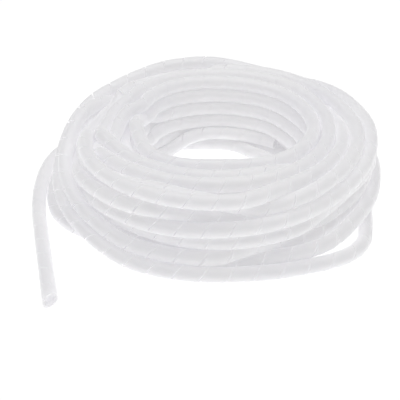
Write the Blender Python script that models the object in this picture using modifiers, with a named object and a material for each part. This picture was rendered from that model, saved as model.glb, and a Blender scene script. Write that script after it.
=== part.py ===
"""Spiral cable wrap: a loose flat-lying coil of slit plastic tube, with one free end beside it.

The real wrap is one continuous strip. Its wound length is one turned solid with its bore, whose
faces show the turns, and its free end is a plain tube along its own route.
Metres, +Z up. The origin is on the floor, at the centre of the whole wrap's footprint.
"""

import math

import bpy
from mathutils import Vector

# The wrap itself, and the coil that it is wound into
TURN_DIAMETER = 0.0060
BORE_RADIUS = 0.0332
FOOT_RADIUS = 0.0710
TOP_RADIUS = 0.0660
COIL_HEIGHT = 0.0343

# Neighbouring turns nest into each other by up to this share of their diameter
NEST_SHARE = 0.96
# A turn shows three facets, the middle one flat along the crest
FACETS_PER_TURN = 3
RING_STEPS = 48

# Points of the turned section closer than this are one point
MERGE_DISTANCE = 0.0001

# Clearance from the coil's foot to a tube that lies against it, facets allowed for
SIDE_GAP = 0.0007

# Along the free end, one point every diameter and a half, and a twelve-sided tube. The points
# are read from a curve worked out in this many short parts between two places of the route.
POINTS_EVERY_DIAMETERS = 1.5
PARTS_PER_STRETCH = 40
TUBE_BEVEL_RESOLUTION = 4

# The free end lies on the floor, beside the coil's foot at first and then out past the front.
# Each place is the angle about the coil's axis in degrees, and how far out it is from lying
# against the foot.
FREE_END_ROUTE = (
    (146.0, 0.0),
    (155.0, 0.0011),
    (163.0, 0.0017),
    (171.0, 0.0013),
    (179.0, 0.0008),
    (187.0, 0.0010),
    (194.0, 0.0017),
    (201.0, 0.0031),
    (207.0, 0.0049),
    (213.0, 0.0077),
    (218.0, 0.0109),
    (224.4, 0.0164),
    (230.1, 0.0231),
    (234.1, 0.0291),
)

PLASTIC_COLOUR = (0.80, 0.80, 0.83, 1.0)
PLASTIC_ROUGHNESS = 0.42

TURN_RADIUS = TURN_DIAMETER / 2


def clear_scene():
    for old in list(bpy.data.objects):
        bpy.data.objects.remove(old, do_unlink=True)


def milky_plastic(name):
    material = bpy.data.materials.new(name)
    material.use_nodes = True
    shader = material.node_tree.nodes["Principled BSDF"]
    shader.inputs["Base Color"].default_value = PLASTIC_COLOUR
    shader.inputs["Roughness"].default_value = PLASTIC_ROUGHNESS
    shader.inputs["Metallic"].default_value = 0.0
    material.diffuse_color = PLASTIC_COLOUR
    return material


def corner_turns():
    """Centres of the four corner turns, as (radius, height), down the outside first."""
    outer_top = Vector((TOP_RADIUS - TURN_RADIUS, COIL_HEIGHT - TURN_RADIUS))
    outer_foot = Vector((FOOT_RADIUS - TURN_RADIUS, TURN_RADIUS))
    inner_foot = Vector((BORE_RADIUS + TURN_RADIUS, TURN_RADIUS))
    inner_top = Vector((BORE_RADIUS + TURN_RADIUS, COIL_HEIGHT - TURN_RADIUS))
    return [outer_top, outer_foot, inner_foot, inner_top]


def crest_points(centre, facing, half_width):
    """Both ends of the flat along the crest of one turn, in the outline's order."""
    reach = TURN_RADIUS / math.cos(half_width)
    for angle in (facing + half_width, facing - half_width):
        yield centre + reach * Vector((math.cos(angle), math.sin(angle)))


def valley_point(centre, following, facing):
    """Where one turn's round meets the next turn's."""
    half = (following - centre).length / 2
    depth = math.sqrt(TURN_RADIUS**2 - half**2)
    return (centre + following) / 2 + depth * Vector((math.cos(facing), math.sin(facing)))


def coil_outline():
    """The coil's section: round turns side by side along its four sides."""
    corners = corner_turns()
    outline = []
    for start, end in zip(corners, corners[1:] + corners[:1]):
        run = end - start
        facing = math.atan2(run.x, -run.y)
        gaps = math.ceil(run.length / (TURN_DIAMETER * NEST_SHARE))
        valley_angle = math.asin(run.length / gaps / TURN_DIAMETER)
        turns = [start.lerp(end, step / gaps) for step in range(gaps + 1)]
        for place, turn in enumerate(turns):
            outline.extend(crest_points(turn, facing, valley_angle / FACETS_PER_TURN))
            if place < gaps:
                outline.append(valley_point(turn, turns[place + 1], facing))
    return outline


def wound_coil(collection, frame, material):
    """The wound turns as one turned solid, open through its middle."""
    outline = coil_outline()
    count = len(outline)
    mesh = bpy.data.meshes.new("wound_coil")
    mesh.from_pydata(
        [(point.x, 0.0, point.y) for point in outline],
        [(place, (place + 1) % count) for place in range(count)],
        [],
    )
    coil = bpy.data.objects.new("wound_coil", mesh)
    collection.objects.link(coil)
    coil.parent = frame
    mesh.materials.append(material)
    turning = coil.modifiers.new("turn", "SCREW")
    turning.axis = "Z"
    turning.steps = RING_STEPS
    turning.render_steps = RING_STEPS
    turning.use_merge_vertices = True
    turning.merge_threshold = MERGE_DISTANCE
    turning.use_smooth_shade = True
    return coil


def smooth_through(points, spacing):
    """Points at an even spacing along a smooth curve through the given ones."""
    fine = []
    padded = [2 * points[0] - points[1], *points, 2 * points[-1] - points[-2]]
    for before, start, end, after in zip(padded, padded[1:], padded[2:], padded[3:]):
        for part in range(PARTS_PER_STRETCH):
            t = part / PARTS_PER_STRETCH
            pull = (end - before) / 2
            push = (after - start) / 2
            fine.append(
                (2 * t**3 - 3 * t**2 + 1) * start
                + (t**3 - 2 * t**2 + t) * pull
                + (3 * t**2 - 2 * t**3) * end
                + (t**3 - t**2) * push
            )
    fine.append(points[-1])
    travelled = [0.0]
    for start, end in zip(fine, fine[1:]):
        travelled.append(travelled[-1] + (end - start).length)
    count = max(2, round(travelled[-1] / spacing))
    even = []
    place = 0
    for step in range(count + 1):
        wanted = travelled[-1] * step / count
        while place < len(fine) - 2 and travelled[place + 1] < wanted:
            place += 1
        share = (wanted - travelled[place]) / (travelled[place + 1] - travelled[place])
        even.append(fine[place].lerp(fine[place + 1], share))
    return even


def beside_coil(degrees, outward):
    """The middle of a tube on the floor at an angle about the coil, so far out from its foot."""
    angle = math.radians(degrees)
    reach = FOOT_RADIUS + SIDE_GAP + TURN_RADIUS + outward
    return Vector((reach * math.cos(angle), reach * math.sin(angle), TURN_RADIUS))


def free_end(collection, frame, material):
    """The loose end of the wrap, a plain tube from the coil's foot out along the floor."""
    route = [beside_coil(*place) for place in FREE_END_ROUTE]
    points = smooth_through(route, POINTS_EVERY_DIAMETERS * TURN_DIAMETER)
    curve = bpy.data.curves.new("free_end", "CURVE")
    curve.dimensions = "3D"
    curve.bevel_depth = TURN_RADIUS
    curve.bevel_resolution = TUBE_BEVEL_RESOLUTION
    curve.use_fill_caps = True
    line = curve.splines.new("POLY")
    line.points.add(len(points) - 1)
    for spot, point in zip(line.points, points):
        spot.co = (*point, 1.0)
    line.use_smooth = True
    tube = bpy.data.objects.new("free_end", curve)
    collection.objects.link(tube)
    tube.parent = frame
    curve.materials.append(material)
    return tube


def centre_on_footprint(frame, pieces):
    """Move the frame so that the world origin is at the centre of the footprint."""
    bpy.context.view_layer.update()
    depsgraph = bpy.context.evaluated_depsgraph_get()
    places = []
    for piece in pieces:
        shown = piece.evaluated_get(depsgraph)
        places.extend(shown.matrix_world @ vertex.co for vertex in shown.to_mesh().vertices)
        shown.to_mesh_clear()
    for axis in range(2):
        low = min(place[axis] for place in places)
        high = max(place[axis] for place in places)
        frame.location[axis] = -(low + high) / 2


def build():
    clear_scene()
    collection = bpy.data.collections.new("spiral_cable_wrap")
    bpy.context.scene.collection.children.link(collection)
    frame = bpy.data.objects.new("wrap_frame", None)
    collection.objects.link(frame)
    plastic = milky_plastic("milky_plastic")
    pieces = [
        wound_coil(collection, frame, plastic),
        free_end(collection, frame, plastic),
    ]
    centre_on_footprint(frame, pieces)


build()
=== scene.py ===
"""Spiral cable wrap, the looks: one strip of slit milky tube, wound into a loose coil with one free end.

The turns that the photo shows follow listed strands, the turns between them settle
against each other in the coil's section, and the free end repeats the route of its solid.
Metres, +Z up.
"""

import math

import bmesh
import bpy
import numpy as np
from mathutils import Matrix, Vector


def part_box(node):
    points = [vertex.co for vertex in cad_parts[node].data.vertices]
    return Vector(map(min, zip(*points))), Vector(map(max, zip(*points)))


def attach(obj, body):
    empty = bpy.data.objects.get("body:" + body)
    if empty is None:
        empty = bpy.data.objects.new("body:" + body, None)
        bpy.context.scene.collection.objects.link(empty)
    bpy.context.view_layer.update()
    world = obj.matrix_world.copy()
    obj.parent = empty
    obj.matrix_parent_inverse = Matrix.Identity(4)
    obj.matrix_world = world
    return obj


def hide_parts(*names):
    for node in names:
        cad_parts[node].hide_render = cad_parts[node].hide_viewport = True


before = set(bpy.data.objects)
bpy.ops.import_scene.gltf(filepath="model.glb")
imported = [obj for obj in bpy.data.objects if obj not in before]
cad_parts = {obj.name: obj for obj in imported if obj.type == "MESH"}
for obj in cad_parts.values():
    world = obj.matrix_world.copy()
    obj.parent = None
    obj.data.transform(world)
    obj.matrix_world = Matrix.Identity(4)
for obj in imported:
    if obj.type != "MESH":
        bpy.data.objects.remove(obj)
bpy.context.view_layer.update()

# The tube: its outside diameter and wall, the spacing of its slit and the slit's width when straight
TUBE_DIAMETER = 0.0060
TUBE_RADIUS = TUBE_DIAMETER / 2
WALL = 0.0009
SLIT_PITCH = 0.0099
SLIT_GAP = 0.00020
# On the inside of a bend the slit closes to this
CLOSED_SLIT = 0.00008
# Where the outer strand lies on the coil's upper edge at the back left, its slit stands open. Each
# row is the distance back from the cut end, and the slit's width there.
OPEN_SLIT = 0.00055
SLIT_WIDTHS = (
    (0.49, SLIT_GAP),
    (0.53, OPEN_SLIT),
    (0.66, OPEN_SLIT),
    (0.70, SLIT_GAP),
)

# The coil's foot, as in the solid, and the clearance beside it
FOOT_RADIUS = 0.0710
SIDE_GAP = 0.0007

# The free end's route, as in the solid: the angle about the coil's axis in degrees, and how far
# out it is from lying against the foot
FREE_END_ROUTE = (
    (146.0, 0.0),
    (155.0, 0.0011),
    (163.0, 0.0017),
    (171.0, 0.0013),
    (179.0, 0.0008),
    (187.0, 0.0010),
    (194.0, 0.0017),
    (201.0, 0.0031),
    (207.0, 0.0049),
    (213.0, 0.0077),
    (218.0, 0.0109),
    (224.4, 0.0164),
    (230.1, 0.0231),
    (234.1, 0.0291),
)
# The cut end: how far it runs on past the solid's end, how steeply it slants across the tube, and
# the angle around the tube where it is longest, which is its outer side
END_RUN_ON = 0.0018
END_SLANT = 0.55
END_CUT_ANGLE = 0.0

# Strands that the photo shows. Each place is the angle about the coil's axis in degrees, the
# radius and the height of the middle. The outer strand ends where the free end starts.
OUTER_STRAND = (
    (-95.0, 0.0650, 0.0208),
    (-75.0, 0.0650, 0.0218),
    (-55.0, 0.0650, 0.0238),
    (-37.0, 0.0650, 0.0264),
    (-20.0, 0.0648, 0.0285),
    (-12.0, 0.0645, 0.0295),
    (-1.0, 0.0638, 0.0310),
    (15.0, 0.0621, 0.0316),
    (28.0, 0.0622, 0.0312),
    (42.0, 0.0620, 0.0300),
    (55.0, 0.0615, 0.0285),
    (64.0, 0.0616, 0.0290),
    (74.0, 0.0618, 0.0302),
    (90.0, 0.0611, 0.0330),
    (101.0, 0.0600, 0.0338),
    (113.0, 0.0592, 0.0338),
    (123.0, 0.0586, 0.0330),
    (132.0, 0.0586, 0.0320),
    (143.0, 0.0601, 0.0302),
    (151.0, 0.0622, 0.0283),
    (160.0, 0.0633, 0.0257),
    (169.0, 0.0640, 0.0228),
    (177.0, 0.0647, 0.0198),
    (184.0, 0.0654, 0.0172),
    (191.0, 0.0667, 0.0150),
    (198.0, 0.0674, 0.0126),
    (205.0, 0.0678, 0.0106),
    (213.0, 0.0679, 0.0088),
    (221.0, 0.0678, 0.0068),
    (230.0, 0.0677, 0.0046),
    (238.0, 0.0680, 0.0032),
    (249.0, 0.0682, 0.0030),
    (260.0, 0.0681, 0.0030),
    (280.0, 0.0684, 0.0030),
    (288.0, 0.0694, 0.0030),
    (299.0, 0.0713, 0.0030),
    (307.0, 0.0736, 0.0030),
    (312.0, 0.0747, 0.0030),
    (318.0, 0.0747, 0.0030),
    (324.0, 0.0728, 0.0030),
    (331.0, 0.0690, 0.0030),
    (342.0, 0.0652, 0.0030),
    (355.0, 0.0638, 0.0030),
    (380.0, 0.0648, 0.0032),
    (410.0, 0.0672, 0.0030),
    (440.0, 0.0706, 0.0030),
    (470.0, 0.0738, 0.0030),
    (497.0, 0.0749, 0.0030),
)
# The strand that lies outermost on the left at the floor, two turns before the outer one
LOW_TURNS_BACK = 2
LOW_STRAND = (
    (145.0, 0.0675, 0.0045),
    (170.0, 0.0692, 0.0030),
    (188.0, 0.0696, 0.0030),
    (197.0, 0.0698, 0.0030),
    (205.0, 0.0690, 0.0030),
    (213.0, 0.0664, 0.0030),
    (221.0, 0.0630, 0.0030),
    (230.0, 0.0617, 0.0030),
    (242.0, 0.0615, 0.0030),
    (260.0, 0.0617, 0.0034),
    (275.0, 0.0624, 0.0046),
    (288.0, 0.0647, 0.0064),
    (300.0, 0.0678, 0.0076),
    (308.0, 0.0690, 0.0084),
    (315.0, 0.0685, 0.0091),
    (323.0, 0.0675, 0.0096),
    (337.0, 0.0674, 0.0104),
    (350.0, 0.0673, 0.0113),
    (360.0, 0.0675, 0.0130),
    (365.0, 0.0679, 0.0140),
)
# The strand that comes down along the outer one's upper side, on the left and the front
WALL_TURNS_BACK = 3
WALL_STRAND = (
    (158.0, 0.0590, 0.0305),
    (168.0, 0.0602, 0.0279),
    (178.0, 0.0616, 0.0246),
    (188.0, 0.0634, 0.0211),
    (198.0, 0.0645, 0.0181),
    (205.0, 0.0649, 0.0161),
    (213.0, 0.0651, 0.0143),
    (221.0, 0.0650, 0.0123),
    (230.0, 0.0649, 0.0101),
    (238.0, 0.0650, 0.0088),
    (250.0, 0.0651, 0.0085),
    (262.0, 0.0651, 0.0085),
    (274.0, 0.0652, 0.0091),
)
# The turn that comes up at the bore's back left and then lies along its upper rim
RIM_TURNS_BACK = 6
RIM_STRAND = (
    (140.0, 0.0372, 0.0244),
    (150.0, 0.0364, 0.0250),
    (160.0, 0.0352, 0.0270),
    (168.0, 0.0343, 0.0293),
    (177.0, 0.0337, 0.0309),
    (199.0, 0.0332, 0.0310),
    (224.0, 0.0363, 0.0310),
    (240.0, 0.0374, 0.0312),
    (250.0, 0.0367, 0.0312),
    (260.0, 0.0357, 0.0312),
    (269.0, 0.0351, 0.0312),
    (278.0, 0.0353, 0.0312),
    (289.0, 0.0368, 0.0312),
    (300.0, 0.0383, 0.0312),
    (314.0, 0.0396, 0.0312),
    (330.0, 0.0401, 0.0312),
    (346.0, 0.0406, 0.0311),
    (359.0, 0.0412, 0.0310),
    (380.0, 0.0415, 0.0310),
    (401.0, 0.0430, 0.0310),
    (417.0, 0.0437, 0.0310),
    (434.0, 0.0436, 0.0310),
    (453.0, 0.0437, 0.0310),
    (465.0, 0.0440, 0.0310),
    (479.0, 0.0431, 0.0310),
    (495.0, 0.0402, 0.0310),
    (510.0, 0.0368, 0.0312),
)
# The inner end lies on its own next turn at the bore's right, and comes down to the floor behind
# the bore. That next turn stands a little into the bore there.
INNER_TURNS_BACK = 29
INNER_STRAND = (
    (42.0, 0.0396, 0.0082),
    (52.0, 0.0382, 0.0086),
    (64.0, 0.0368, 0.0088),
    (80.0, 0.0364, 0.0088),
    (95.0, 0.0364, 0.0087),
    (103.0, 0.0362, 0.0082),
    (111.0, 0.0359, 0.0070),
    (119.0, 0.0357, 0.0050),
    (127.0, 0.0356, 0.0035),
    (137.0, 0.0357, 0.0030),
    (155.0, 0.0360, 0.0030),
    (175.0, 0.0360, 0.0030),
    (220.0, 0.0360, 0.0030),
    (270.0, 0.0362, 0.0030),
    (320.0, 0.0360, 0.0030),
    (360.0, 0.0350, 0.0030),
    (388.0, 0.0332, 0.0030),
    (400.0, 0.0325, 0.0030),
    (411.0, 0.0322, 0.0030),
    (419.0, 0.0326, 0.0030),
    (426.0, 0.0344, 0.0030),
    (434.0, 0.0360, 0.0030),
    (443.0, 0.0366, 0.0030),
    (453.0, 0.0370, 0.0030),
    (464.0, 0.0380, 0.0030),
    (472.0, 0.0395, 0.0030),
    (480.0, 0.0412, 0.0030),
    (490.0, 0.0420, 0.0030),
    (515.0, 0.0424, 0.0030),
)

# How the hidden turns are wound: rows of turns, as many in each as said here, from the floor up
ROW_TURNS = (5, 4, 4, 4, 3, 3)
ROW_RISE = 0.0056
ROW_INNER_RADIUS = 0.0366
ROW_OUTER_RADIUS = 0.0590
# The third and the fourth row reach out to the wall's outside
WALL_ROWS = (2, 3)
WALL_ROW_OUTER_RADIUS = 0.0645
# After the rim's turn come a place halfway up the wall's outside, and one at its top
OUTSIDE_COLUMN = (
    (0.0645, 0.0150),
    (0.0590, 0.0300),
)
# Each change to the next place takes this share of a turn, and comes so much sooner or later
CHANGE_TURNS = 0.45
CHANGE_JITTER = 0.2
WINDING_SEED = 7
# The turns also wander, in a sum of this many waves. Each repeats between so few and so many
# times in a turn, and together they reach about so far out and so far up.
WANDER_WAVES = 60
WANDER_RATES = (0.6, 2.6)
WANDER_RADIUS = 0.0016
WANDER_HEIGHT = 0.0013

# How far out the middles of the turns lie, by the angle about the axis
OUTSIDE_AT_TOP = (
    (0.0, 0.0625),
    (30.0, 0.0605),
    (45.0, 0.0580),
    (60.0, 0.0575),
    (75.0, 0.0580),
    (90.0, 0.0595),
    (105.0, 0.0590),
    (120.0, 0.0570),
    (132.0, 0.0560),
    (145.0, 0.0560),
    (160.0, 0.0570),
    (172.0, 0.0575),
    (185.0, 0.0590),
    (200.0, 0.0605),
    (215.0, 0.0630),
    (330.0, 0.0640),
    (345.0, 0.0635),
    (360.0, 0.0625),
)
OUTSIDE_AT_FOOT = (
    (0.0, 0.0680),
    (190.0, 0.0680),
    (205.0, 0.0635),
    (215.0, 0.0620),
    (225.0, 0.0635),
    (235.0, 0.0650),
    (300.0, 0.0650),
    (308.0, 0.0620),
    (325.0, 0.0600),
    (340.0, 0.0650),
    (360.0, 0.0680),
)
# Low down the wall's outside keeps closer to its radius at the foot than a straight slope would
OUTSIDE_POWER = 1.5
# The least radius of the turns' middles at the floor, and their greatest height
INSIDE_AT_FOOT = 0.0362
HIGHEST_MIDDLE = 0.0320
# Behind the outer strand on the left the top has a hollow
HOLLOW_ANGLE = 166.0
HOLLOW_HALF_ANGLE = 26.0
HOLLOW_RADIUS = 0.0520
HOLLOW_HALF_WIDTH = 0.0078
HOLLOW_DEPTH = 0.0060

# Settling. In each step the turns are drawn to their places, sink, straighten, and are then
# pushed apart to the touching distance. The draw fades, and the last steps straighten less.
TOUCHING_DISTANCE = 0.00606
SETTLING_STEPS = 500
DRAW_SHARE = 0.03
DRAW_FADE = 1.5
SINKING = 0.00004
EARLY_SHARE = 0.8
EARLY_STRAIGHTENINGS = 3
STRAIGHTENED_SHARE = 0.25
PUSHES_PER_STEP = 4
PUSH_SHARE = 0.7
SECTIONS_PER_TURN = 48
# Added to each distance between two turns, so that none is zero
LEAST_DISTANCE = 0.000001

# The strip's mesh, and how many of the path's points there are to each one declared for the cord
STEPS_PER_SLIT_TURN = 18
PATH_SPACING = 0.0005
BEND_SMOOTHING_POINTS = 9
# The slit's place around the cut end, which sets where it shows along the outer strand
SLIT_PHASE = 2.05
SHARP_ANGLE = 50
WELD_DISTANCE = 0.000001

# Looks: the plastic's two close tints, and a painted glow: an emission that stands in for light scattered
# through the stock and lifts its brightness, on the outside of the tube and, weaker as painted shade,
# inside it
CLEAR_TINT = (0.76, 0.755, 0.772, 1)
MILKY_TINT = (0.78, 0.775, 0.78, 1)
PAINTED_GLOW_TINT = (0.98, 0.975, 1.0, 1)
PAINTED_GLOW_OUTSIDE = 0.183
PAINTED_GLOW_INSIDE = 0.168
# Painted shade: deep in the bore the painted glow keeps this share, which rises to all of it over these
# radii or heights
PAINTED_SHADE_DEEP_SHARE = 0.80
PAINTED_SHADE_RADII = (0.038, 0.052)
PAINTED_SHADE_HEIGHTS = (0.004, 0.033)
SCATTER_DISTANCE = 0.003
PLASTIC_IOR = 1.51
# The tints change in patches, over the middle part of the noise that makes them
PATCH_SCALE = 28
PATCH_DETAIL = 2
PATCH_RANGE = (0.35, 0.65)
# The die's lines are drawn out along the tube, and change its roughness and its relief
DIE_LINE_STRETCH = (3.0, 3.0, 12.0)
DIE_LINE_SCALE = 3
DIE_LINE_DETAIL = 3
DIE_LINE_RANGE = (0.3, 0.7)
ROUGHNESS_RANGE = (0.30, 0.46)
BUMP_STRENGTH = 0.25
BUMP_DISTANCE = 0.0002

# The studio: a white room and lamp, and a pale floor just under the coil, with a glow of its own
WHITE = (1, 1, 1, 1)
WORLD_STRENGTH = 0.36
LAMP_POWER = 3.2
LAMP_SIZE = (1.0, 0.8)
LAMP_PLACE = (0.0, 0.10, 0.82)
FLOOR_HALF_SIZE = 3.0
FLOOR_DEPTH = 0.0002
FLOOR_COLOUR = (0.9, 0.9, 0.9, 1)
FLOOR_ROUGHNESS = 0.9
FLOOR_GLOW = 0.42

# The camera, fitted to points of the photo: its angle above the floor in degrees, its distance
# from what it is aimed at, its lens and sensor in millimetres, and its aim from the coil's axis
CAMERA_ELEVATION = 31.39
CAMERA_DISTANCE = 0.42864
CAMERA_LENS = 87.77
CAMERA_SENSOR = 36.0
CAMERA_CLIP_START = 0.01
CAMERA_AIM = (-0.00671, 0.0, -0.00551)


def coil_axis():
    """Where the coil's axis stands: the middle of the solid coil's box."""
    low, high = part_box("wound_coil")
    return np.array([(low[0] + high[0]) / 2, (low[1] + high[1]) / 2, 0.0])


def smooth_rows(rows, wanted):
    """Values of a smooth curve through rows of (place, values) at the wanted places."""
    rows = np.array(rows)
    place = rows[:, 0]
    value = rows[:, 1:]
    slope = np.gradient(value, place, axis=0)
    left = np.clip(np.searchsorted(place, wanted) - 1, 0, len(place) - 2)
    span = (place[left + 1] - place[left])[:, None]
    t = (wanted[:, None] - place[left][:, None]) / span
    return (
        (2 * t**3 - 3 * t**2 + 1) * value[left]
        + (t**3 - 2 * t**2 + t) * span * slope[left]
        + (3 * t**2 - 2 * t**3) * value[left + 1]
        + (t**3 - t**2) * span * slope[left + 1]
    )


def ease(share):
    share = np.clip(share, 0, 1)
    return share * share * (3 - 2 * share)


def on_turn(strand, turns_back):
    """A strand's rows with their angles counted on from turn to turn."""
    return [(angle - 360 * turns_back, radius, height) for angle, radius, height in strand]


def row_places():
    """Places of the hidden turns in the coil's section, to and fro in rows from the floor up."""
    places = []
    for row, count in enumerate(ROW_TURNS):
        outermost = WALL_ROW_OUTER_RADIUS if row in WALL_ROWS else ROW_OUTER_RADIUS
        radii = np.linspace(ROW_INNER_RADIUS, outermost, count)
        if row % 2:
            radii = radii[::-1]
        places.extend((radius, TUBE_RADIUS + row * ROW_RISE) for radius in radii)
    return places


def wandering_line(rng, count):
    """A smooth line that wanders to either side, of unit size."""
    turns = np.arange(count) / SECTIONS_PER_TURN
    line = np.zeros(count)
    for _ in range(WANDER_WAVES):
        line += rng.normal() * np.sin(2 * np.pi * (turns * rng.uniform(*WANDER_RATES) + rng.uniform()))
    return line / math.sqrt(WANDER_WAVES)


def from_place_to_place(angles, places, rng):
    """Radius and height along a stretch that changes from each place to the next in turn."""
    turns = (angles - angles[0]) / 360
    changes = len(places) - 1
    width = CHANGE_TURNS if changes > 1 else turns[-1]
    starts = np.linspace(0, turns[-1] - width, changes)
    starts[1:-1] += rng.uniform(-CHANGE_JITTER, CHANGE_JITTER, max(changes - 2, 0))
    wanted = np.tile(np.array(places[0], float), (len(angles), 1))
    for start, before, after in zip(starts, places, places[1:]):
        moved = ease((turns - start) / width)[:, None]
        wanted += moved * (np.array(after) - np.array(before))
    return wanted


def around(rows, angles):
    """A value from rows of (angle about the axis, value), at any angles."""
    angle, value = np.array(rows).T
    return np.interp(angles, angle, value, period=360)


def height_share(height):
    return np.clip((height - TUBE_RADIUS) / (HIGHEST_MIDDLE - TUBE_RADIUS), 0, 1)


def inside_radius(angles, height):
    """The least radius of a turn's middle: the bore's wall, which leans out towards its rim."""
    rim = around([(angle, radius) for angle, radius, _ in RIM_STRAND], angles)
    return INSIDE_AT_FOOT + (rim - INSIDE_AT_FOOT) * height_share(height)


def outside_radius(angles, height):
    """The greatest radius of a turn's middle."""
    foot = around(OUTSIDE_AT_FOOT, angles)
    top = around(OUTSIDE_AT_TOP, angles)
    return foot + (top - foot) * height_share(height) ** OUTSIDE_POWER


def highest_middle(angles, radius):
    """The greatest height of a turn's middle, less in the hollow on the left."""
    aside = (angles % 360 - HOLLOW_ANGLE) / HOLLOW_HALF_ANGLE
    across = (radius - HOLLOW_RADIUS) / HOLLOW_HALF_WIDTH
    return HIGHEST_MIDDLE - HOLLOW_DEPTH * ease(1 - aside**2) * ease(1 - across**2)


def wanted_winding(rng):
    """Angle, wanted radius and height, and whether it is held there, for each point of the winding."""
    step = 360 / SECTIONS_PER_TURN
    inner = on_turn(INNER_STRAND, INNER_TURNS_BACK)
    rim = on_turn(RIM_STRAND, RIM_TURNS_BACK)
    wall = on_turn(WALL_STRAND, WALL_TURNS_BACK)
    low = on_turn(LOW_STRAND, LOW_TURNS_BACK)
    outer = on_turn(OUTER_STRAND, 0)
    first = math.ceil(inner[0][0] / step)
    last = math.floor(outer[-1][0] / step)
    angles = step * np.arange(first, last + 1)
    wanted = np.zeros((len(angles), 2))
    held = np.zeros(len(angles), bool)
    for strand in (inner, rim, wall, low, outer):
        inside = (angles >= strand[0][0]) & (angles <= strand[-1][0])
        wanted[inside] = smooth_rows(strand, angles[inside])
        held |= inside
    # Two of the bottom row's places are the inner strand's own
    stretches = (
        (inner[-1], row_places()[2:], rim[0]),
        (rim[-1], OUTSIDE_COLUMN, wall[0]),
        (wall[-1], (), low[0]),
        (low[-1], (), outer[0]),
    )
    for start, places, end in stretches:
        inside = (angles >= start[0]) & (angles <= end[0]) & ~held
        wanted[inside] = from_place_to_place(angles[inside], [start[1:], *places, end[1:]], rng)
    depth = ROW_OUTER_RADIUS - ROW_INNER_RADIUS
    lean = inside_radius(angles, wanted[:, 1]) - INSIDE_AT_FOOT
    lean *= (ROW_OUTER_RADIUS - wanted[:, 0]).clip(0) / depth
    wander_out = wandering_line(rng, len(angles)) * WANDER_RADIUS
    wander_up = wandering_line(rng, len(angles)) * WANDER_HEIGHT
    wanted[~held] += np.column_stack([lean + wander_out, wander_up])[~held]
    return angles, wanted, held


def by_section(values, spare):
    """Values of the winding's points as a table of sections by turns."""
    padded = np.concatenate([np.zeros((spare, *values.shape[1:])), values])
    return np.swapaxes(padded.reshape(-1, SECTIONS_PER_TURN, *values.shape[1:]), 0, 1)


def push_apart(place, spare, give):
    """Move turns that are too near each other in a section apart."""
    table = by_section(place, spare)
    offset = table[:, :, None, :] - table[:, None, :, :]
    distance = np.sqrt((offset**2).sum(-1)) + LEAST_DISTANCE
    overlap = np.clip(TOUCHING_DISTANCE - distance, 0, None) * give
    push = (offset * (overlap / distance)[..., None]).sum(2)
    return place + PUSH_SHARE * np.swapaxes(push, 0, 1).reshape(-1, 2)[spare:]


def settled_winding():
    """The winding's points as (angle, radius, height), settled beside and on each other."""
    rng = np.random.default_rng(WINDING_SEED)
    angles, place, held = wanted_winding(rng)
    wanted = place.copy()
    loose = ~held
    free = loose.astype(float)
    spare = -len(angles) % SECTIONS_PER_TURN
    shown = by_section(np.ones(len(angles)), spare)
    movable = by_section(free, spare)
    pairs = shown[:, :, None] * shown[:, None, :] * (1 - np.eye(shown.shape[1]))
    # Of two loose turns each gives way by half, and next to a held one the loose turn by it all
    give = pairs * movable[:, :, None] / np.maximum(movable[:, :, None] + movable[:, None, :], 1)
    for step in range(SETTLING_STEPS):
        share = step / SETTLING_STEPS
        place += DRAW_SHARE * (1 - share) ** DRAW_FADE * (wanted - place) * free[:, None]
        place[:, 1] -= SINKING * free * (1 - share)
        for _ in range(EARLY_STRAIGHTENINGS if share < EARLY_SHARE else 1):
            bend = place[:-2] - 2 * place[1:-1] + place[2:]
            place[1:-1] += STRAIGHTENED_SHARE * bend * free[1:-1, None]
        for _ in range(PUSHES_PER_STEP):
            place = push_apart(place, spare, give)
            least = inside_radius(angles, place[:, 1])
            most = outside_radius(angles, place[:, 1])
            highest = highest_middle(angles, place[:, 0])
            place[loose, 0] = np.clip(place[loose, 0], least[loose], most[loose])
            place[loose, 1] = np.clip(place[loose, 1], TUBE_RADIUS, highest[loose])
    return np.column_stack([angles, place])


def beside_coil(degrees, outward):
    """The middle of a tube on the floor at an angle about the coil, so far out from its foot."""
    angle = math.radians(degrees)
    reach = FOOT_RADIUS + SIDE_GAP + TUBE_RADIUS + outward
    return (reach * math.cos(angle), reach * math.sin(angle), TUBE_RADIUS)


def whole_route():
    """Points of the wrap's middle line, from its inner end through the winding to its cut end."""
    angle, radius, height = settled_winding().T
    turning = np.radians(angle)
    wound = np.column_stack([radius * np.cos(turning), radius * np.sin(turning), height])
    loose = np.array([beside_coil(*place) for place in FREE_END_ROUTE])
    ahead = loose[-1] - loose[-2]
    tip = loose[-1] + ahead * END_RUN_ON / np.linalg.norm(ahead)
    return np.vstack([wound, loose, tip]) + coil_axis()


def travelled(points):
    """The distance along a line at each of its points."""
    return np.concatenate([[0], np.cumsum(np.linalg.norm(np.diff(points, axis=0), axis=1))])


def even_path(route):
    """The route as a smooth line with points at an even spacing, and each point's distance along it."""
    chord = travelled(route)
    fine = smooth_rows(np.column_stack([chord, route]), np.arange(0, chord[-1], PATH_SPACING))
    reached = travelled(fine)
    along = np.linspace(0, reached[-1], int(reached[-1] / PATH_SPACING) + 1)
    path = np.column_stack([np.interp(along, reached, fine[:, axis]) for axis in range(3)])
    return along, path


def unit(rows):
    return rows / np.linalg.norm(rows, axis=1)[:, None]


def tube_frame(along, path):
    """For each point of the path, side by side: itself, its outward and downward directions, its bend."""
    ahead = unit(np.gradient(path, along, axis=0))
    outward = unit(np.cross(ahead, (0.0, 0.0, 1.0)))
    downward = np.cross(ahead, outward)
    bend = np.gradient(ahead, along, axis=0)
    even = np.ones(BEND_SMOOTHING_POINTS) / BEND_SMOOTHING_POINTS
    bend = np.column_stack([np.convolve(bend[:, axis], even, "same") for axis in range(3)])
    return np.column_stack([path, outward, downward, bend])


# Where a row of the tube's frame holds each of them
PLACE = slice(0, 3)
OUTWARD = slice(3, 6)
DOWNWARD = slice(6, 9)
BEND = slice(9, 12)

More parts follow.
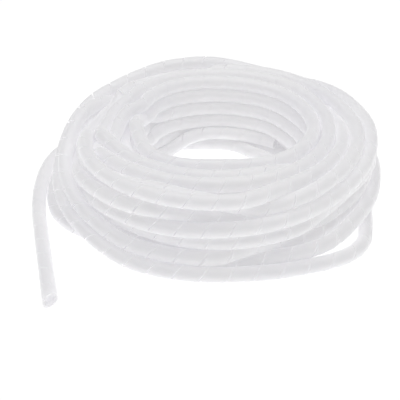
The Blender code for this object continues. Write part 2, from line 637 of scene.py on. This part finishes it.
# The strip's section, in order around it: how far across its half width, its radius, and whether
# it is on the tube's inside
SECTION = (
    (-1, TUBE_RADIUS, 0),
    (0, TUBE_RADIUS, 0),
    (1, TUBE_RADIUS, 0),
    (1, TUBE_RADIUS - WALL, 1),
    (-1, TUBE_RADIUS - WALL, 1),
)


def strip_points(along, path):
    """The strip's corners, step by step along its helix, and each one's place around and along the tube."""
    columns = tube_frame(along, path)

    def at(distance):
        return np.column_stack([np.interp(distance, along, column) for column in columns.T])

    length = along[-1]
    middle = np.arange(-SLIT_PITCH / 2, length + SLIT_PITCH, SLIT_PITCH / STEPS_PER_SLIT_TURN)
    angle = SLIT_PHASE + 2 * np.pi * (length - middle) / SLIT_PITCH
    cut = length - TUBE_RADIUS * END_SLANT * (1 - np.cos(angle - END_CUT_ANGLE))
    last = np.flatnonzero(middle - SLIT_PITCH / 2 < cut)[-1]
    middle, angle, cut = middle[: last + 1], angle[: last + 1], cut[: last + 1]
    cosine = np.cos(angle)[:, None]
    sine = np.sin(angle)[:, None]
    here = at(middle)
    facing = cosine * here[:, OUTWARD] + sine * here[:, DOWNWARD]
    # A bend opens the slit on its outside and closes it on its inside
    stretch = 1 - TUBE_RADIUS * (here[:, BEND] * facing).sum(1)
    gap = np.interp(length - middle, *np.array(SLIT_WIDTHS).T)
    half = np.minimum((SLIT_PITCH - gap) / 2 / stretch, (SLIT_PITCH - CLOSED_SLIT) / 2)
    corners = []
    places = []
    for across, radius, _ in SECTION:
        distance = np.clip(middle + across * half, 0, cut)
        spot = at(distance)
        corners.append(spot[:, PLACE] + radius * (cosine * spot[:, OUTWARD] + sine * spot[:, DOWNWARD]))
        places.append(np.column_stack([cosine, sine, distance]))
    return np.stack(corners, axis=1), np.stack(places, axis=1)


def slit_strip(name, along, path):
    """The tube's wall as one helical band with its own thickness, closed at both ends."""
    corners, places = strip_points(along, path)
    steps, across = corners.shape[:2]
    start = np.arange(steps - 1)[:, None] * across
    corner = np.arange(across)[None, :]
    following = (corner + 1) % across
    faces = np.stack(
        [start + corner, start + following, start + across + following, start + across + corner], axis=2
    ).reshape(-1, 4)
    first_end = list(range(across))[::-1]
    last_end = [(steps - 1) * across + place for place in range(across)]
    mesh = bpy.data.meshes.new(name)
    mesh.from_pydata(corners.reshape(-1, 3).tolist(), [], [*faces.tolist(), first_end, last_end])
    inside = np.tile([float(row[2]) for row in SECTION], steps)
    mesh.attributes.new("inner_side", "FLOAT", "POINT").data.foreach_set("value", inside)
    mesh.attributes.new("tube_place", "FLOAT_VECTOR", "POINT").data.foreach_set("vector", places.ravel())
    weld(mesh)
    mesh.polygons.foreach_set("use_smooth", np.ones(len(mesh.polygons), bool))
    mesh.set_sharp_from_angle(angle=math.radians(SHARP_ANGLE))
    strip = bpy.data.objects.new(name, mesh)
    bpy.context.scene.collection.objects.link(strip)
    return strip


def weld(mesh):
    """Join the corners that the cuts at both ends bring together."""
    shape = bmesh.new()
    shape.from_mesh(mesh)
    bmesh.ops.remove_doubles(shape, verts=shape.verts, dist=WELD_DISTANCE)
    bmesh.ops.dissolve_degenerate(shape, edges=shape.edges, dist=WELD_DISTANCE)
    shape.to_mesh(mesh)
    shape.free()


def noise(nodes, links, place, scale, detail):
    """A noise that wanders about one half, over the given coordinates."""
    texture = nodes.new("ShaderNodeTexNoise")
    texture.inputs["Scale"].default_value = scale
    texture.inputs["Detail"].default_value = detail
    links.new(place, texture.inputs["Vector"])
    return texture.outputs["Fac"]


def spread(nodes, links, value, low, high, start=0.0, end=1.0):
    """A value moved from the range start to end into the range low to high."""
    mapping = nodes.new("ShaderNodeMapRange")
    mapping.inputs["From Min"].default_value = start
    mapping.inputs["From Max"].default_value = end
    mapping.inputs["To Min"].default_value = low
    mapping.inputs["To Max"].default_value = high
    links.new(value, mapping.inputs["Value"])
    return mapping.outputs["Result"]


def milky_plastic():
    """Translucent polyethylene in two close tints, with lines from its die and a painted glow: emission
    that stands in for light scattered through the stock.
    """
    material = bpy.data.materials.new("milky_plastic_look")
    material.use_nodes = True
    nodes = material.node_tree.nodes
    links = material.node_tree.links
    shader = nodes["Principled BSDF"]
    shader.inputs["IOR"].default_value = PLASTIC_IOR
    shader.inputs["Subsurface Weight"].default_value = 1.0
    shader.inputs["Subsurface Radius"].default_value = (1, 1, 1)
    shader.inputs["Subsurface Scale"].default_value = SCATTER_DISTANCE
    shader.inputs["Emission Color"].default_value = PAINTED_GLOW_TINT
    place = nodes.new("ShaderNodeTexCoord").outputs["Object"]
    links.new(patchy_tint(nodes, links, place), shader.inputs["Base Color"])
    add_die_lines(nodes, links, shader)
    # Painted glow: emission that stands in for light scattered through the stock, not a lamp
    links.new(painted_glow(nodes, links, place), shader.inputs["Emission Strength"])
    return material


def patchy_tint(nodes, links, place):
    """The plastic's colour, which changes from one tint to the other in large soft patches."""
    tint = nodes.new("ShaderNodeMix")
    tint.data_type = "RGBA"
    tint.inputs["A"].default_value = CLEAR_TINT
    tint.inputs["B"].default_value = MILKY_TINT
    patches = noise(nodes, links, place, PATCH_SCALE, PATCH_DETAIL)
    links.new(spread(nodes, links, patches, 0, 1, *PATCH_RANGE), tint.inputs["Factor"])
    return tint.outputs["Result"]


def add_die_lines(nodes, links, shader):
    """Faint lengthwise lines, in the shader's roughness and relief."""
    on_tube = nodes.new("ShaderNodeAttribute")
    on_tube.attribute_name = "tube_place"
    stretched = nodes.new("ShaderNodeVectorMath")
    stretched.operation = "MULTIPLY"
    stretched.inputs[1].default_value = DIE_LINE_STRETCH
    links.new(on_tube.outputs["Vector"], stretched.inputs[0])
    lines = noise(nodes, links, stretched.outputs["Vector"], DIE_LINE_SCALE, DIE_LINE_DETAIL)
    links.new(spread(nodes, links, lines, *ROUGHNESS_RANGE, *DIE_LINE_RANGE), shader.inputs["Roughness"])
    bump = nodes.new("ShaderNodeBump")
    bump.inputs["Strength"].default_value = BUMP_STRENGTH
    bump.inputs["Distance"].default_value = BUMP_DISTANCE
    links.new(lines, bump.inputs["Height"])
    links.new(bump.outputs["Normal"], shader.inputs["Normal"])


def painted_glow(nodes, links, place):
    """Painted glow: emission standing in for light scattered through the stock, weaker on the tube's inside
    as painted shade, and dimmed by painted shade deep in the bore.
    """
    inner_side = nodes.new("ShaderNodeAttribute")
    inner_side.attribute_name = "inner_side"
    painted_glow_by_side = spread(nodes, links, inner_side.outputs["Fac"], PAINTED_GLOW_OUTSIDE, PAINTED_GLOW_INSIDE)
    shaded_painted_glow = nodes.new("ShaderNodeMath")
    shaded_painted_glow.operation = "MULTIPLY"
    links.new(painted_glow_by_side, shaded_painted_glow.inputs[0])
    links.new(painted_bore_shade(nodes, links, place), shaded_painted_glow.inputs[1])
    return shaded_painted_glow.outputs["Value"]


def painted_bore_shade(nodes, links, place):
    """Painted shade: the share of the painted glow that stays, all of it outside and on top, less deep down
    in the bore.
    """
    # The place without its height, for its distance from the coil's axis
    flat = nodes.new("ShaderNodeVectorMath")
    flat.operation = "MULTIPLY"
    flat.inputs[1].default_value = (1, 1, 0)
    links.new(place, flat.inputs[0])
    from_axis = nodes.new("ShaderNodeVectorMath")
    from_axis.operation = "DISTANCE"
    from_axis.inputs[1].default_value = coil_axis()
    links.new(flat.outputs["Vector"], from_axis.inputs[0])
    height = nodes.new("ShaderNodeSeparateXYZ")
    links.new(place, height.inputs["Vector"])
    # Painted shade: the glow is dimmed where a place is both near the axis and low down
    outer = spread(nodes, links, from_axis.outputs["Value"], PAINTED_SHADE_DEEP_SHARE, 1, *PAINTED_SHADE_RADII)
    upper = spread(nodes, links, height.outputs["Z"], PAINTED_SHADE_DEEP_SHARE, 1, *PAINTED_SHADE_HEIGHTS)
    share = nodes.new("ShaderNodeMath")
    share.operation = "MAXIMUM"
    links.new(outer, share.inputs[0])
    links.new(upper, share.inputs[1])
    return share.outputs["Value"]


def pale_floor():
    mesh = bpy.data.meshes.new("studio_floor")
    directions = ((-1, -1), (1, -1), (1, 1), (-1, 1))
    corners = [(FLOOR_HALF_SIZE * x, FLOOR_HALF_SIZE * y, 0) for x, y in directions]
    mesh.from_pydata(corners, [], [(0, 1, 2, 3)])
    floor = bpy.data.objects.new("studio_floor", mesh)
    floor.location.z = -FLOOR_DEPTH
    bpy.context.scene.collection.objects.link(floor)
    material = bpy.data.materials.new("floor_white")
    material.use_nodes = True
    shader = material.node_tree.nodes["Principled BSDF"]
    shader.inputs["Base Color"].default_value = FLOOR_COLOUR
    shader.inputs["Roughness"].default_value = FLOOR_ROUGHNESS
    shader.inputs["Emission Color"].default_value = WHITE
    shader.inputs["Emission Strength"].default_value = FLOOR_GLOW
    mesh.materials.append(material)


def soft_light():
    """A pale room, and one large soft lamp overhead, a little behind the coil."""
    world = bpy.data.worlds.new("studio")
    world.use_nodes = True
    background = world.node_tree.nodes["Background"]
    background.inputs["Color"].default_value = WHITE
    background.inputs["Strength"].default_value = WORLD_STRENGTH
    bpy.context.scene.world = world
    light = bpy.data.lights.new("top_softbox", "AREA")
    light.shape = "RECTANGLE"
    light.size, light.size_y = LAMP_SIZE
    light.energy = LAMP_POWER
    lamp = bpy.data.objects.new("top_softbox", light)
    lamp.location = LAMP_PLACE
    lamp.rotation_euler = (-Vector(LAMP_PLACE)).to_track_quat("-Z", "Y").to_euler()
    bpy.context.scene.collection.objects.link(lamp)


def photo_camera():
    """A camera that looks along +Y and down at the coil, aimed from the coil's axis."""
    camera = bpy.data.cameras.new("photo_camera")
    camera.lens = CAMERA_LENS
    camera.sensor_width = CAMERA_SENSOR
    camera.clip_start = CAMERA_CLIP_START
    holder = bpy.data.objects.new("photo_camera", camera)
    tilt = math.radians(CAMERA_ELEVATION)
    aim = Vector(coil_axis()) + Vector(CAMERA_AIM)
    holder.location = aim + CAMERA_DISTANCE * Vector((0.0, -math.cos(tilt), math.sin(tilt)))
    holder.rotation_euler = (math.pi / 2 - tilt, 0.0, 0.0)
    bpy.context.scene.collection.objects.link(holder)
    bpy.context.scene.camera = holder


photo_camera()
soft_light()
pale_floor()
bpy.context.scene.view_settings.view_transform = "Standard"

along, path = even_path(whole_route())
wrap = slit_strip("spiral_wrap", along, path)
wrap.data.materials.append(milky_plastic())
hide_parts("wound_coil", "free_end")
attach(wrap, "root")
